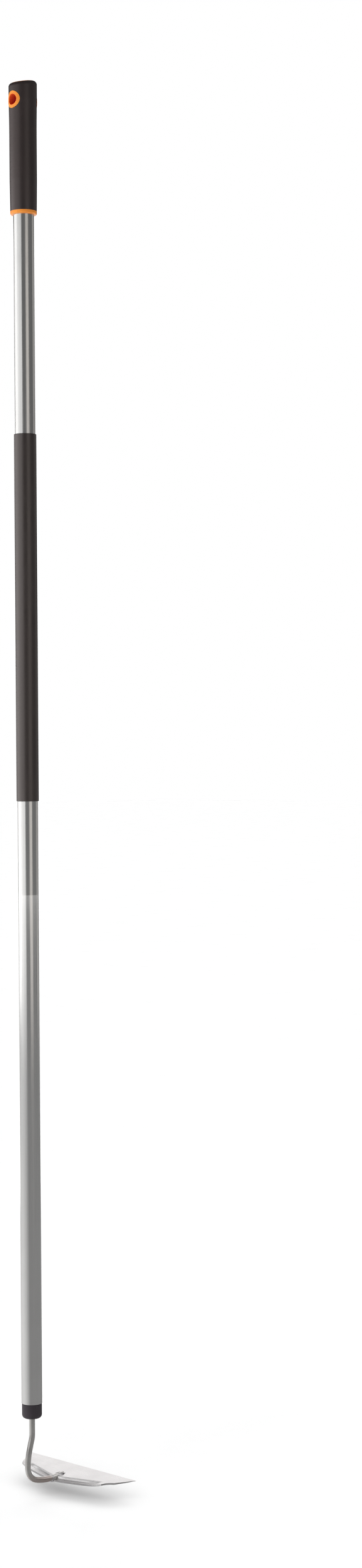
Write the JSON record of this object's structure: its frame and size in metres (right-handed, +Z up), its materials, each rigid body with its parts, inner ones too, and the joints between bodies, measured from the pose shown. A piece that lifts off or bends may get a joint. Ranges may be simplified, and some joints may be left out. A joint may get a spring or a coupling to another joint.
{
  "type": "grub hoe",
  "caption": "Long-handled hoe: straight tube with a soft grip and hang hole at the top, a bent steel neck and a wide stepped blade with a straight cutting edge.",
  "frame": {"origin": "centre of the hang hole at the top of the grip, on the shaft's axis", "axes": "+Z up along the shaft, +X from the shaft towards the cutting edge, along the hang hole, Y across the blade"},
  "size_m": [0.0989, 0.192, 1.6999],
  "materials": {
    "satin_aluminium": "satin, drawn along the tube",
    "sleeve_coating": "satin charcoal sleeve",
    "grip_rubber": "matt soft-touch",
    "orange_plastic": "fine-textured moulding",
    "black_plastic": "fine-textured moulding",
    "neck_steel": "satin",
    "blade_steel": "ground, satin",
    "weld_steel": "rippled weld bead"
  },
  "bodies": {
    "root": {"shaft_tube": "satin_aluminium", "middle_sleeve": "sleeve_coating", "socket_plug": "black_plastic", "grip_core": "orange_plastic", "grip_cover": "grip_rubber", "hang_eyelet": "orange_plastic", "neck_rod": "neck_steel", "blade": "blade_steel", "weld_back": "weld_steel", "weld_tip_left": "weld_steel", "weld_tip_right": "weld_steel"}
  },
  "joints": []
}
